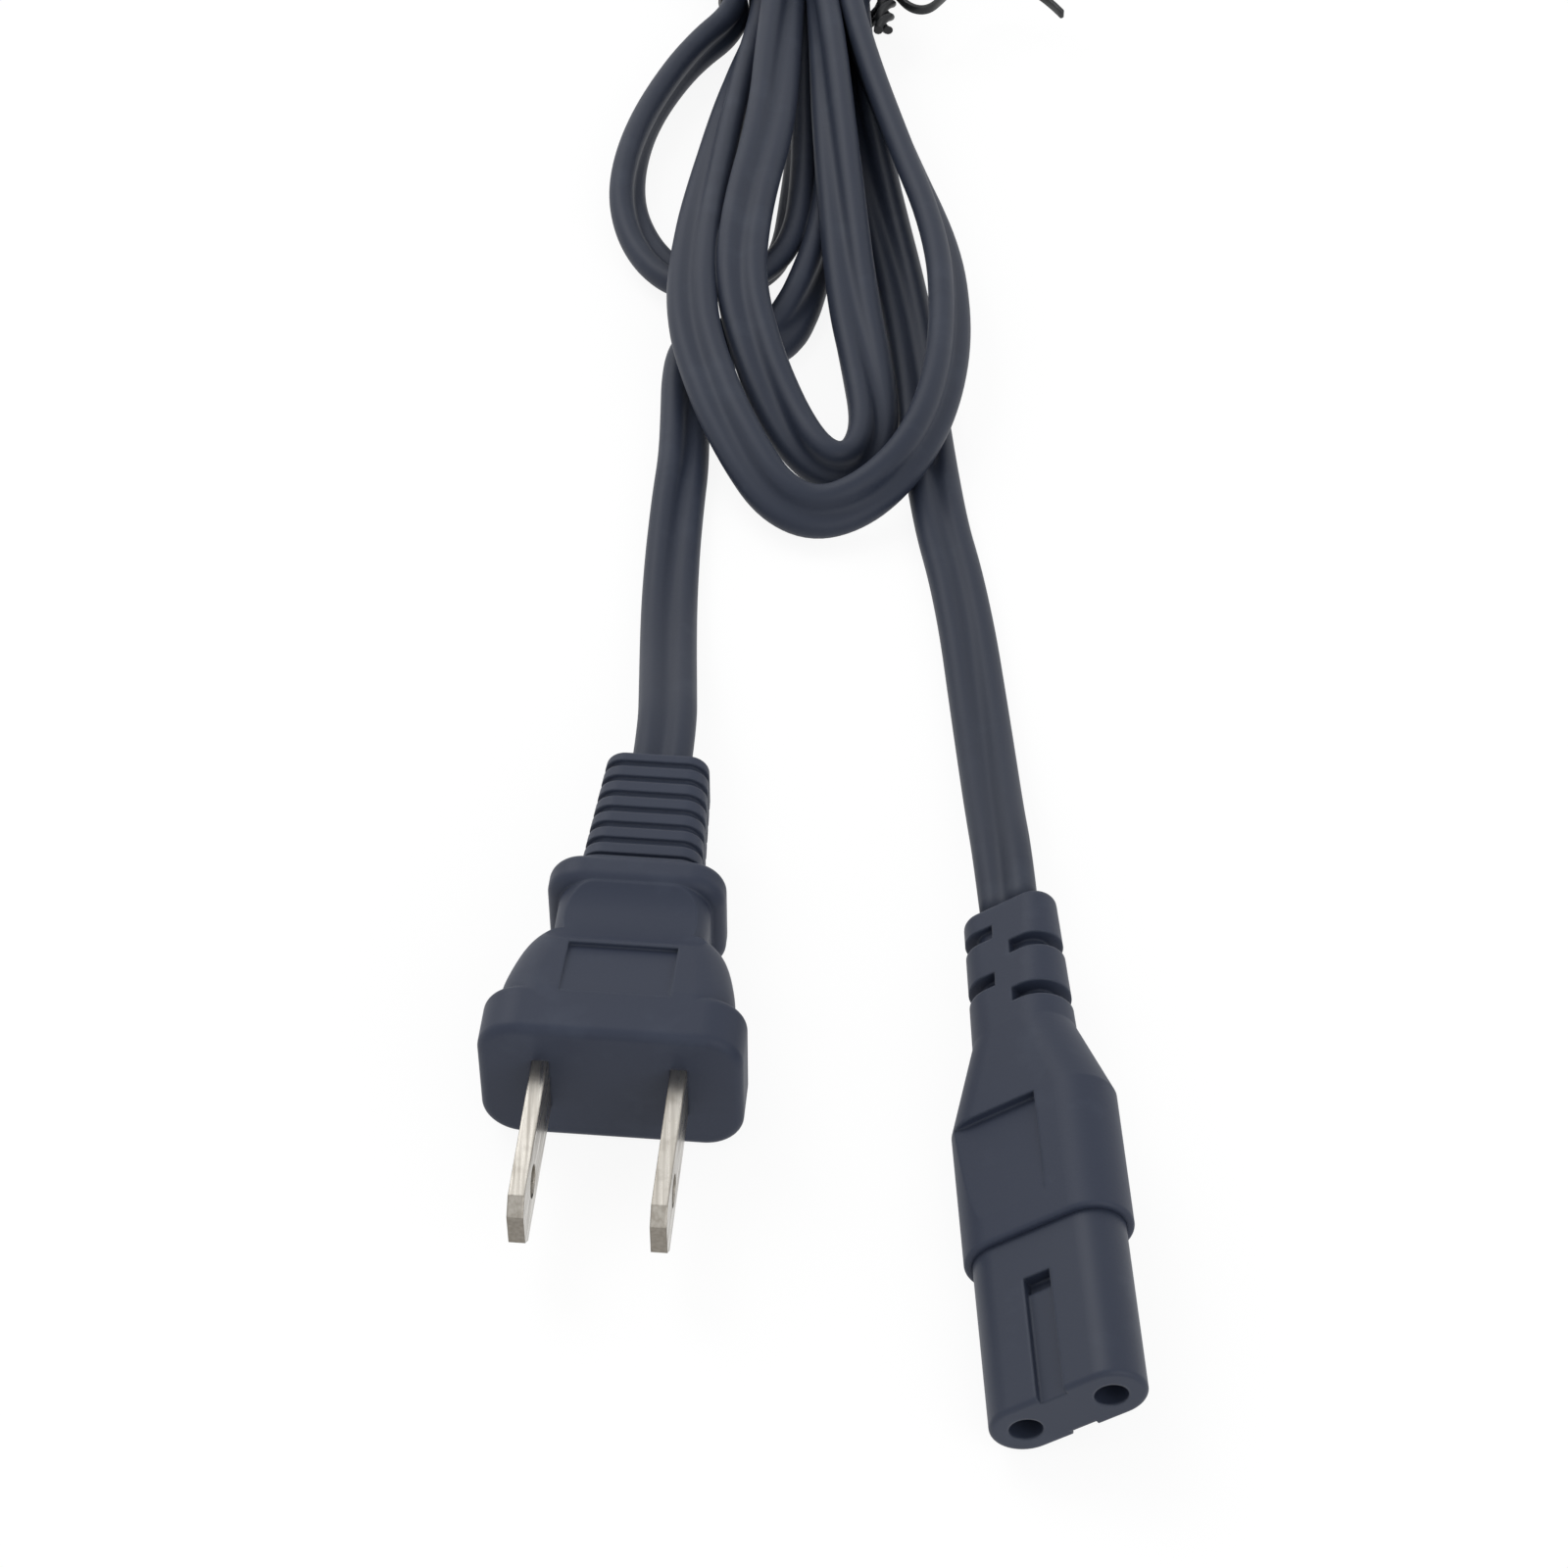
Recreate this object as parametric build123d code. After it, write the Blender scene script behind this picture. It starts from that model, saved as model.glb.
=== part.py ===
"""Power cord: a moulded two-blade plug, a flat twin cord tied in a hank, and a figure-of-eight connector.

Millimetres, +Z up, standing on Z = 0. The origin is on the floor, under the middle of plug and connector.
The plug and the connector are each drawn in a frame of their own: the front is at Y = 0, the cord leaves
along +Y, X runs across and Z is through the thin way. A location then lays each of them on the floor.
"""
from build123d import *
import math
import os

# Flat twin cord
cord_width = 6.0
cord_thickness = 3.0
conductor_diameter = 1.2
conductor_bend_radius = 3.0

# Plug blades, bridge and crimp barrels
blade_pitch = 12.7
blade_thickness = 1.5
blade_width = 6.35
blade_reach = 17.0
blade_tip_chamfer = 1.4
blade_hole_diameter = 3.1
blade_hole_from_tip = 5.6
blade_seat = 9.0
bridge_front = 2.5
bridge_length = 5.0
bridge_height = 9.0
bridge_side_wall = 2.2
bridge_corner = 1.2
barrel_diameter = 2.8
barrel_length = 4.2
barrel_grip = 3.2

# Plug body, from the face back
flange_width = 24.4
flange_height = 15.0
flange_depth = 5.6
flange_corner = 3.8
flange_edge = 0.9
shoulder_width = 21.6
shoulder_height = 15.0
shoulder_length = 9.4
shoulder_rear_height = 11.8
shoulder_corner = 3.6
panel_width = 10.2
panel_length = 7.0
panel_depth = 0.5
panel_lip = 0.15
waist_width = 14.6
waist_height = 9.6
scoop_length = 8.4
collar_width = 17.0
collar_height = 12.6
collar_length = 3.5
collar_setback = 20.3
collar_corner = 3.4
collar_edge = 1.2
relief_width_front = 11.8
relief_height_front = 9.2
relief_width_rear = 10.2
relief_height_rear = 7.8
relief_length = 16.3
relief_corner = 2.0
relief_edge = 0.6
groove_count = 7
groove_pitch = 2.2
groove_width = 0.9
groove_depth = 0.45
groove_first = 1.8

# Connector nose, contacts and sockets
socket_pitch = 8.4
nose_lobe_radius = 3.2
nose_length = 17.5
nose_edge = 0.45
channel_width = 2.6
channel_depth = 0.7
channel_setback = 12.8
pocket_length = 1.4
pocket_depth = 1.3
insert_seat = 6.0
socket_mouth_radius = 1.5
socket_mouth_depth = 3.2
contact_bore_radius = 1.3
contact_bore_length = 11.5
contact_wall = 0.6
contact_slit = 0.4
contact_crimp_depth = 5.0

# Connector body, from the rim back
rim_step = 0.75
grip_length = 14.8
grip_edge = 0.4
thumb_side = 2.2
thumb_depth = 0.9
thumb_length = 11.6
thumb_step = 0.3
neck_width = 10.2
neck_height = 7.2
taper_length = 9.2
tail_width = 9.6
tail_height = 4.4
tail_length = 16.5
tail_edge = 0.9
slot_width = 1.8
slot_setbacks = {-1: (3.8, 10.2), 1: (6.8, 13.2)}
slot_core_width = 7.0
slot_core_height = 3.4
slot_spine = 1.7

# Where plug and connector lie
plug_x = -17.36
plug_y = -2.58
plug_yaw = -5.0
connector_x = 22.74
connector_y = -37.5
connector_yaw = 2.45
connector_roll = -33.0

# Cord leads: points from the plug's or the connector's tail to the hank, after the one at the tail itself
lead_exit_run = 7.6
plug_lead_points = [
    (-13.4, 53.3, 5.3), (-13.6, 61.3, 3.2), (-13.7, 69.8, 1.9), (-13.5, 78.3, 1.6), (-13.1, 86.3, 1.52),
    (-12.6, 92.8, 1.52),
]
connector_lead_points = [
    (19.5, 36.3, 4.5), (19.1, 46.3, 2.7), (18.6, 55.8, 1.8), (17.9, 65.3, 1.6), (16.8, 74.8, 1.52),
    (15.5, 82.8, 1.52),
]

# Hank: the tie, and each loop's reach, half width, lean in degrees, lowest and highest side
tie_x = 0.8
tie_y = 182.3
bundle_width = 19.6
bundle_length = 16.0
bundle_height = 13.0
bundle_edge = 3.0
strand_width = 5.0
loop_tie_radius = 4.0
belly_share = 0.6
loop_end_share = 0.7
near_loops = [
    (99.5, 17.4, 2.0, 0.0, 8.5),
    (91.0, 10.4, 0.5, 2.5, 8.0),
    (60.5, 11.6, -16.0, 0.0, 6.0),
]
far_loops = [
    (68.0, 11.0, 13.0, 0.0, 6.0),
    (71.0, 11.5, -18.0, 0.0, 6.0),
    (58.0, 10.0, 17.0, 5.5, 11.5),
    (90.0, 22.0, 3.0, 1.5, 9.5),
]

# Twist tie
band_width = 3.2
band_thickness = 0.6
twist_strip = 1.2
twist_length = 11.0
twist_turns = 2.5
twist_heading = -70.0
twist_offset = 1.0
twist_height = 7.0
tail_strip_width = 1.6
tail_strip_thickness = 0.8
tail_points = [(13.6, 177.8), (16.2, 176.1), (19.0, 178.8), (23.7, 184.8), (29.7, 182.8), (35.5, 174.9)]

# Places that follow from the sizes
collar_rear = collar_setback + collar_length
plug_length = collar_rear + relief_length
taper_start = nose_length + grip_length
tail_start = taper_start + taper_length
connector_length = tail_start + tail_length
insert_length = nose_length + insert_seat
grip_height = 2 * (nose_lobe_radius + rim_step)
grip_width = socket_pitch + grip_height
contact_radius = contact_bore_radius + contact_wall
conductor_gap = cord_width / 2
roll = math.radians(abs(connector_roll))
connector_axis_height = math.sin(roll) * socket_pitch / 2 + grip_height / 2
plug_frame = Location((plug_x, plug_y, flange_height / 2), (0, 0, plug_yaw))
connector_frame = Location((connector_x, connector_y, connector_axis_height), (0, 0, connector_yaw))
connector_frame = connector_frame * Location((0, 0, 0), (0, connector_roll, 0))


def across(y):
    """Plane square to the cord's way out, at a distance from the front."""
    return Plane(origin=(0, y, 0), x_dir=(1, 0, 0), z_dir=(0, 1, 0))


def block(width, height, corner, start, length):
    """Rounded bar that runs along Y."""
    return extrude(across(start) * RectangleRounded(width, height, corner), amount=length)


def rod(radius, x, start, end):
    """Round bar along Y, at a distance to one side."""
    return extrude(across(start) * Pos(x, 0) * Circle(radius), amount=end - start)


def conductor(x, start, bend, merge, end):
    """Copper strands from a crimp, in beside their twin and out to the cord."""
    side = math.copysign(conductor_gap / 2, x)
    route = [(x, start, 0), (x, bend, 0), (side, merge, 0), (side, end, 0)]
    path = FilletPolyline(*route, radius=conductor_bend_radius)
    return sweep(across(start) * Pos(x, 0) * Circle(conductor_diameter / 2), path=path)


def blade(x):
    """Flat contact blade with a chamfered tip, a hole and a crimp barrel."""
    half = blade_width / 2
    tip = -blade_reach
    outline = Polyline(
        (blade_seat, half), (tip + blade_tip_chamfer, half), (tip, half - blade_tip_chamfer),
        (tip, blade_tip_chamfer - half), (tip + blade_tip_chamfer, -half), (blade_seat, -half), close=True,
    )
    side = Plane(origin=(x, 0, 0), x_dir=(0, 1, 0), z_dir=(1, 0, 0))
    hole = Pos(tip + blade_hole_from_tip, 0) * Circle(blade_hole_diameter / 2)
    flat = extrude(side * (make_face(outline) - hole), amount=blade_thickness / 2, both=True)
    return flat + rod(barrel_diameter / 2, x, blade_seat, blade_seat + barrel_length)


def shoulder_half_height(y):
    """Height of the shoulder above the axis, which falls evenly from flange to waist."""
    share = (y - flange_depth) / shoulder_length
    return (shoulder_height + (shoulder_rear_height - shoulder_height) * share) / 2


def shoulder():
    """Rounded shoulder: in plan a quarter ellipse from the flange in to the waist."""
    sections = []
    for share in (0.0, 0.4, 0.7, 0.9, 1.0):
        y = flange_depth + shoulder_length * share
        width = waist_width + (shoulder_width - waist_width) * math.sqrt(1 - share**2)
        sections.append(across(y) * RectangleRounded(width, 2 * shoulder_half_height(y), shoulder_corner))
    return loft(sections)


def scoop():
    """Round bar that hollows the finger grip between shoulder and collar."""
    depth = (collar_height - waist_height) / 2
    radius = scoop_length**2 / (8 * depth) + depth / 2
    middle = collar_setback + collar_edge / 2 - scoop_length / 2
    bar = Cylinder(radius, 2 * flange_width, rotation=(0, 90, 0))
    return Pos(0, middle, waist_height / 2 + radius) * bar


def panel():
    """Shallow panel in the shoulder, deepest at its rear edge and nearly level towards the flange."""
    rear = collar_setback + collar_edge / 2 - scoop_length - panel_depth
    front = rear - panel_length
    floor = Polyline(
        (rear, shoulder_half_height(rear) - panel_depth), (front, shoulder_half_height(front) - panel_lip),
        (front, flange_height), (rear, flange_height), close=True,
    )
    return extrude(Plane.YZ * make_face(floor), amount=panel_width / 2, both=True)


def strain_relief():
    """Tapered tail with grooves all round it."""
    rear = across(plug_length) * RectangleRounded(relief_width_rear, relief_height_rear, relief_corner)
    front = across(collar_rear) * RectangleRounded(relief_width_front, relief_height_front, relief_corner)
    tail = loft([front, rear])
    tail = fillet(tail.edges().group_by(Axis.Y)[-1], relief_edge)
    for number in range(groove_count):
        y = plug_length - groove_first - groove_pitch * number
        share = (plug_length - y) / relief_length
        width = relief_width_rear + (relief_width_front - relief_width_rear) * share - 2 * groove_depth
        height = relief_height_rear + (relief_height_front - relief_height_rear) * share - 2 * groove_depth
        ring = block(flange_width, flange_height, relief_corner, y - groove_width / 2, groove_width)
        core = block(width, height, relief_corner - groove_depth / 2, y - groove_width / 2, groove_width)
        tail -= ring - core
    return tail


def plug_shell():
    """Outside of the plug body, solid."""
    flange = block(flange_width, flange_height, flange_corner, 0, flange_depth)
    flange = fillet(flange.edges().group_by(Axis.Y)[0] + flange.edges().group_by(Axis.Y)[-1], flange_edge)
    shoulder_end = flange_depth + shoulder_length
    waist_length = collar_rear - shoulder_end
    waist = block(waist_width, shoulder_rear_height, shoulder_corner, shoulder_end, waist_length)
    collar = block(collar_width, collar_height, collar_corner, collar_setback, collar_length)
    collar = fillet(collar.edges().group_by(Axis.Y)[0] + collar.edges().group_by(Axis.Y)[-1], collar_edge)
    root = block(shoulder_width, shoulder_height, shoulder_corner, flange_edge, flange_depth - flange_edge)
    body = flange + root + shoulder() + waist + collar + strain_relief()
    for cut in (scoop(), panel()):
        body -= cut
        body -= mirror(cut, about=Plane.XY)
    return body


def plug_parts():
    """Plug nodes in the plug's own frame."""
    sides = {"left": -blade_pitch / 2, "right": blade_pitch / 2}
    barrel_end = blade_seat + barrel_length
    wires = {}
    blades = {}
    for name, x in sides.items():
        wires[name] = conductor(x, barrel_end - barrel_grip, barrel_end, collar_rear, plug_length)
        blades[name] = blade(x) - wires[name]
    bridge_width = blade_pitch + blade_thickness + 2 * bridge_side_wall
    bridge = block(bridge_width, bridge_height, bridge_corner, bridge_front, bridge_length)
    body = plug_shell() - bridge
    for name, x in sides.items():
        bridge -= blades[name]
        body = body - blade(x) - wires[name]
    nodes = {"plug_body": body, "blade_bridge": bridge}
    for name in sides:
        nodes[f"blade_{name}"] = blades[name]
        nodes[f"plug_conductor_{name}"] = wires[name]
    return nodes


def nose():
    """Connector insert, solid: two lobes, with a channel above and below that ends in a pocket."""
    section = SlotOverall(socket_pitch + 2 * nose_lobe_radius, 2 * nose_lobe_radius)
    bar = extrude(across(0) * section, amount=insert_length)
    bar = fillet(bar.edges().group_by(Axis.Y)[0], nose_edge)
    channel = Box(channel_width, 2 * channel_setback, 2 * channel_depth)
    pocket = Box(channel_width, pocket_length, 2 * pocket_depth)
    channel += Pos(0, channel_setback - pocket_length / 2, 0) * pocket
    for side in (-1, 1):
        bar -= Pos(0, 0, side * nose_lobe_radius) * channel
    return bar


def contact(x):
    """Rolled socket sleeve, slit along its inner side, with a crimp at the back."""
    sleeve = rod(contact_radius, x, socket_mouth_depth, insert_length)
    sleeve -= rod(contact_bore_radius, x, socket_mouth_depth, socket_mouth_depth + contact_bore_length)
    slit = Box(contact_radius, contact_bore_length, contact_slit)
    inner = x - math.copysign(contact_radius / 2, x)
    return sleeve - Pos(inner, socket_mouth_depth + contact_bore_length / 2, 0) * slit


def thumb_ramp():
    """Wedge that hollows one side of the grip, deepest at a step in front of the taper."""
    rear = taper_start - thumb_step
    top = grip_height / 2
    front = rear - thumb_length
    corners = [(front, top), (rear, top - thumb_depth), (rear, grip_height), (front, grip_height)]
    profile = Polyline(*corners, close=True)
    wedge = extrude(Plane.YZ * make_face(profile), amount=grip_width)
    return Pos(thumb_side - grip_width, 0, 0) * wedge


def connector_shell():
    """Outside of the connector body, solid: grip with thumb ramps, taper, and slotted tail."""
    grip = extrude(across(nose_length) * SlotOverall(grip_width, grip_height), amount=grip_length)
    grip = fillet(grip.edges().group_by(Axis.Y)[0], grip_edge)
    neck = across(tail_start) * SlotOverall(neck_width, neck_height)
    taper = loft([across(taper_start) * SlotOverall(grip_width, grip_height), neck])
    tail = loft([neck, across(connector_length) * SlotOverall(tail_width, tail_height)])
    tail = fillet(tail.edges().group_by(Axis.Y)[-1], tail_edge)
    body = grip + taper + tail
    for turn in (0, 180):
        body -= Rot(0, turn, 0) * thumb_ramp()
    for side, setbacks in slot_setbacks.items():
        for setback in setbacks:
            start = across(connector_length - setback - slot_width / 2)
            ring = Pos(side * neck_width / 2, 0) * Rectangle(neck_width - slot_spine, 2 * neck_height)
            gap = ring - SlotOverall(slot_core_width, slot_core_height)
            body -= extrude(start * gap, amount=slot_width)
    return body


def connector_parts():
    """Connector nodes in the connector's own frame."""
    sides = {"left": -socket_pitch / 2, "right": socket_pitch / 2}
    insert = nose()
    body = connector_shell() - insert
    nodes = {"connector_body": body, "connector_insert": insert}
    for name, x in sides.items():
        wire = conductor(x, insert_length - contact_crimp_depth, taper_start, tail_start, connector_length)
        nodes["connector_body"] -= wire
        nodes["connector_insert"] -= rod(socket_mouth_radius, x, 0, socket_mouth_depth)
        nodes["connector_insert"] -= rod(contact_radius, x, socket_mouth_depth, insert_length)
        nodes[f"contact_{name}"] = contact(x) - wire
        nodes[f"connector_conductor_{name}"] = wire
    return nodes


def cord_lead(name, frame, length, points):
    """Tube of the flat cord from a tail to the hank: straight runs joined by tangent arcs."""
    tail = (frame * Pos(0, length, 0)).position
    out = (frame * Pos(0, length + lead_exit_run, 0)).position
    route = [tail, out] + [Vector(*point) for point in points]
    radii = []
    for before, here, after in zip(route, route[1:], route[2:]):
        turn = math.radians((here - before).get_angle(after - here))
        shorter = min((here - before).length, (after - here).length)
        radii.append(0.45 * shorter / math.tan(turn / 2))
    path = FilletPolyline(*route, radius=radii)
    section = Plane(origin=tail, x_dir=(1, 0, 0), z_dir=out - tail) * SlotOverall(cord_width, cord_thickness)
    tube = sweep(section, path=path)
    area = (cord_width - cord_thickness) * cord_thickness + math.pi * cord_thickness**2 / 4
    expected = area * path.length
    print(name, "radii", [round(radius) for radius in radii])
    print(name, "length", round(path.length, 1), "volume", round(tube.volume, 1), "of", round(expected, 1))
    return tube


def hull_of(circles, trim):
    """Face round several circles, each given as x, y and radius, drawn in by a trim."""
    edges = [edge for x, y, radius in circles for edge in (Pos(x, y) * Circle(radius - trim)).edges()]
    return make_hull(edges)


def hank_loop(way, reach, half_width, lean, low, high):
    """One loop of the hank as a flat teardrop ring that hangs from the tie, near (-1) or far (+1)."""
    heading = math.radians(lean)
    end_radius = half_width * loop_end_share
    circles = []
    stops = [(0, loop_tie_radius), (reach * belly_share, half_width), (reach - end_radius, end_radius)]
    for along, radius in stops:
        x = tie_x + along * math.sin(heading)
        y = tie_y + way * along * math.cos(heading)
        circles.append((x, y, radius))
    eye = hull_of(circles[1:], strand_width)
    return Pos(0, 0, low) * extrude(hull_of(circles, 0) - eye, amount=high - low)


def lead_lane(points):
    """Stretch of a lead under the hank, from where its tube ends to the tie."""
    before, end = Vector(*points[-2]), Vector(*points[-1])
    along = (end - before).normalized()
    square = Vector(along.Y, -along.X) * (cord_width / 2)
    half = cord_width / 2
    near = [(corner.X, corner.Y) for corner in (end - square, end + square)]
    outline = Polyline(*near, (tie_x + half, tie_y), (tie_x - half, tie_y), close=True)
    return extrude(make_face(outline), amount=cord_thickness)


def tie_slab(outline):
    """Slice of the hank, as long as the tie's band is wide."""
    start = across(tie_y - band_width / 2) * Pos(tie_x, -bundle_height / 2)
    return extrude(start * outline, amount=band_width)


def bundle_core():
    """Outline of the strands that the band is drawn tight around."""
    return RectangleRounded(bundle_width, bundle_height - 2 * band_thickness, bundle_edge)


def cord_hank():
    """Outer shape of the tied hank: its loops, the two lanes of the leads and the bundle in the tie."""
    bundle = Box(bundle_width, bundle_length, bundle_height, align=(Align.CENTER, Align.CENTER, Align.MIN))
    bundle = Pos(tie_x, tie_y, 0) * fillet(bundle.edges().filter_by(Axis.Y), bundle_edge)
    hank = bundle + lead_lane(plug_lead_points) + lead_lane(connector_lead_points)
    for loop in near_loops:
        hank += hank_loop(-1, *loop)
    for loop in far_loops:
        hank += hank_loop(1, *loop)
    waste = Rectangle(3 * bundle_width, 3 * bundle_height) - bundle_core()
    return hank - tie_slab(waste)


def twist_tie():
    """Band round the bundle, its twisted stem and a loose tail."""
    outside = RectangleRounded(bundle_width + 2 * band_thickness, bundle_height, bundle_edge + band_thickness)
    tie = tie_slab(outside - bundle_core())
    heading = Vector(math.cos(math.radians(twist_heading)), math.sin(math.radians(twist_heading)))
    root = Vector(tie_x + bundle_width / 2 + twist_offset, tie_y, twist_height)
    strands = Plane(origin=root, x_dir=(0, 0, 1), z_dir=heading) * SlotOverall(2 * twist_strip, twist_strip)
    tie += Solid.extrude_linear_with_rotation(strands.face(), root, heading * twist_length, 360 * twist_turns)
    path = Spline((root.X, root.Y, twist_height), *[(x, y, twist_height) for x, y in tail_points])
    start = Plane(origin=root, x_dir=(0, 0, 1), z_dir=path % 0)
    return tie + sweep(start * Rectangle(tail_strip_width, tail_strip_thickness), path=path)


def main():
    """Build every node, lay it in its place and write it."""
    nodes = {name: plug_frame * shape for name, shape in plug_parts().items()}
    nodes.update({name: connector_frame * shape for name, shape in connector_parts().items()})
    nodes["plug_lead"] = cord_lead("plug_lead", plug_frame, plug_length, plug_lead_points)
    nodes["connector_lead"] = cord_lead(
        "connector_lead", connector_frame, connector_length, connector_lead_points
    )
    nodes["cord_hank"] = cord_hank()
    nodes["twist_tie"] = twist_tie()
    os.makedirs("parts", exist_ok=True)
    for name, shape in nodes.items():
        export_step(shape, f"parts/{name}.step")


main()
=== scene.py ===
"""Power cord dressed for a studio picture.

A moulded plug, a flat twin cord in a tied hank and a figure-of-eight connector. Metres, +Z up, standing on
Z = 0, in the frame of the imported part.
"""
import logging
import math
from dataclasses import dataclass
from enum import Enum
from typing import Sequence

import bpy
import numpy as np
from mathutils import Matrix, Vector


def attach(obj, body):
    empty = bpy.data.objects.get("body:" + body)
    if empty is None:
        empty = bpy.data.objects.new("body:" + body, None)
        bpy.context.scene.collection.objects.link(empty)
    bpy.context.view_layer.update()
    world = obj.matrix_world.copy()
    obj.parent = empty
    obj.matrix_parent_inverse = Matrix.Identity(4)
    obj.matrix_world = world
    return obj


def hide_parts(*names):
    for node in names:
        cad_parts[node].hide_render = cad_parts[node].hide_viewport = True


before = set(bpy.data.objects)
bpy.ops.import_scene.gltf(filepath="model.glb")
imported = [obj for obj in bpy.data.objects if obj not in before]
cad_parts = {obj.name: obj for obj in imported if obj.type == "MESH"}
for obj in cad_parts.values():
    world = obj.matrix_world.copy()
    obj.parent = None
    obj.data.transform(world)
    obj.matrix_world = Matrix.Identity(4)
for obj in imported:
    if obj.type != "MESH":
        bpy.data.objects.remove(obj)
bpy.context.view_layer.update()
LOG = logging.getLogger("power_cord")

Pair = tuple[float, float]
Point = tuple[float, float, float]
Colour = tuple[float, float, float, float]
Keys = tuple[float, ...]
Stops = tuple[tuple[Point, float], ...]
ROOT_BODY = "root"
WHITE: Colour = (1, 1, 1, 1)
EIGHTHS = 7  # keys at eighths of the way from one lane to the next


class Way(Enum):
    """Which way a loop of the hank runs from the tie."""

    NEAR = -1.0
    FAR = 1.0


class Sketch:
    """Lays nodes into one node tree and joins them."""

    def __init__(self, tree: bpy.types.NodeTree) -> None:
        """Takes the tree that the nodes go into."""
        self.tree = tree

    def add(self, kind: str, inputs: dict | None = None, **settings: object) -> bpy.types.Node:
        """Adds one shader node.

        Args:
            kind: Node type, without its ShaderNode prefix.
            inputs: Socket name or number to a value, or to the socket that feeds it.
            settings: Properties of the node itself.

        Returns:
            The new node.
        """
        node = self.tree.nodes.new(f"ShaderNode{kind}")
        for name, value in settings.items():
            setattr(node, name, value)
        for name, value in (inputs or {}).items():
            self.feed(node.inputs[name], value)
        return node

    def feed(self, socket: bpy.types.NodeSocket, value: object) -> None:
        """Sets a socket to a value, or links it to another socket."""
        if isinstance(value, bpy.types.NodeSocket):
            self.tree.links.new(value, socket)
        else:
            socket.default_value = value

    def show(self, shader: bpy.types.Node, output: str = "OutputMaterial") -> None:
        """Leads a shader to a new output node."""
        self.feed(self.add(output).inputs["Surface"], shader.outputs[0])

    def math(
        self, operation: str, first: object, second: object, clamp: bool = False
    ) -> bpy.types.NodeSocket:
        """Works out one sum on two values or sockets and returns its socket."""
        node = self.add("Math", {0: first, 1: second}, operation=operation, use_clamp=clamp)
        return node.outputs[0]

    def part(self, value: bpy.types.NodeSocket, share: float) -> bpy.types.NodeSocket:
        """Takes a share of a value and returns the result."""
        return self.math("MULTIPLY", value, share)

    def tone(self, share: object, low: object, high: object) -> bpy.types.NodeSocket:
        """Mixes two colours by a share and returns the mixed colour."""
        node = self.add("Mix", data_type="RGBA")
        self.feed(node.inputs["Factor"], share)
        colours = [socket for socket in node.inputs if socket.type == "RGBA"]
        self.feed(colours[0], low)
        self.feed(colours[1], high)
        return next(socket for socket in node.outputs if socket.type == "RGBA")

    def span(self, value: bpy.types.NodeSocket, low: float, high: float) -> bpy.types.NodeSocket:
        """Stretches a 0 to 1 value over a range and returns the result."""
        return self.add("MapRange", {"Value": value, "To Min": low, "To Max": high}).outputs["Result"]

    def picked(self, value: bpy.types.NodeSocket, low: float, high: float) -> bpy.types.NodeSocket:
        """Stretches the range between two values over 0 to 1 and returns the result."""
        return self.add("MapRange", {"Value": value, "From Min": low, "From Max": high}).outputs["Result"]

    def noise(self, place: bpy.types.NodeSocket, scale: object, detail: float) -> bpy.types.NodeSocket:
        """Lays a cloudy pattern over a place and returns its value."""
        return self.add("TexNoise", {"Vector": place, "Scale": scale, "Detail": detail}).outputs["Fac"]

    def bump(
        self, height: bpy.types.NodeSocket, normal: bpy.types.NodeSocket, strength: float, distance: float
    ) -> bpy.types.NodeSocket:
        """Raises a surface by a height and returns its new normal."""
        inputs = {"Height": height, "Normal": normal, "Strength": strength, "Distance": distance}
        return self.add("Bump", inputs).outputs["Normal"]


EffectGroup = tuple[Sketch, bpy.types.Node, bpy.types.Node]


def effect_group(name: str, inputs: dict[str, float], outputs: dict[str, str]) -> EffectGroup:
    """Starts a shader node group.

    Args:
        name: Name of the effect.
        inputs: Float inputs and their plain values.
        outputs: Output names and their socket types.

    Returns:
        A sketch of the group's tree, its input node and its output node.
    """
    tree = bpy.data.node_groups.new(name, "ShaderNodeTree")
    for label, value in inputs.items():
        socket = tree.interface.new_socket(label, in_out="INPUT", socket_type="NodeSocketFloat")
        socket.default_value = value
    for label, kind in outputs.items():
        tree.interface.new_socket(label, in_out="OUTPUT", socket_type=kind)
    return Sketch(tree), tree.nodes.new("NodeGroupInput"), tree.nodes.new("NodeGroupOutput")


def blank_material(name: str) -> tuple[bpy.types.Material, Sketch]:
    """Starts a material.

    Args:
        name: Name of the material.

    Returns:
        The material, and a sketch of its tree with no nodes in it yet.
    """
    made = bpy.data.materials.new(name)
    made.use_nodes = True
    made.node_tree.nodes.clear()
    return made, Sketch(made.node_tree)


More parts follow.
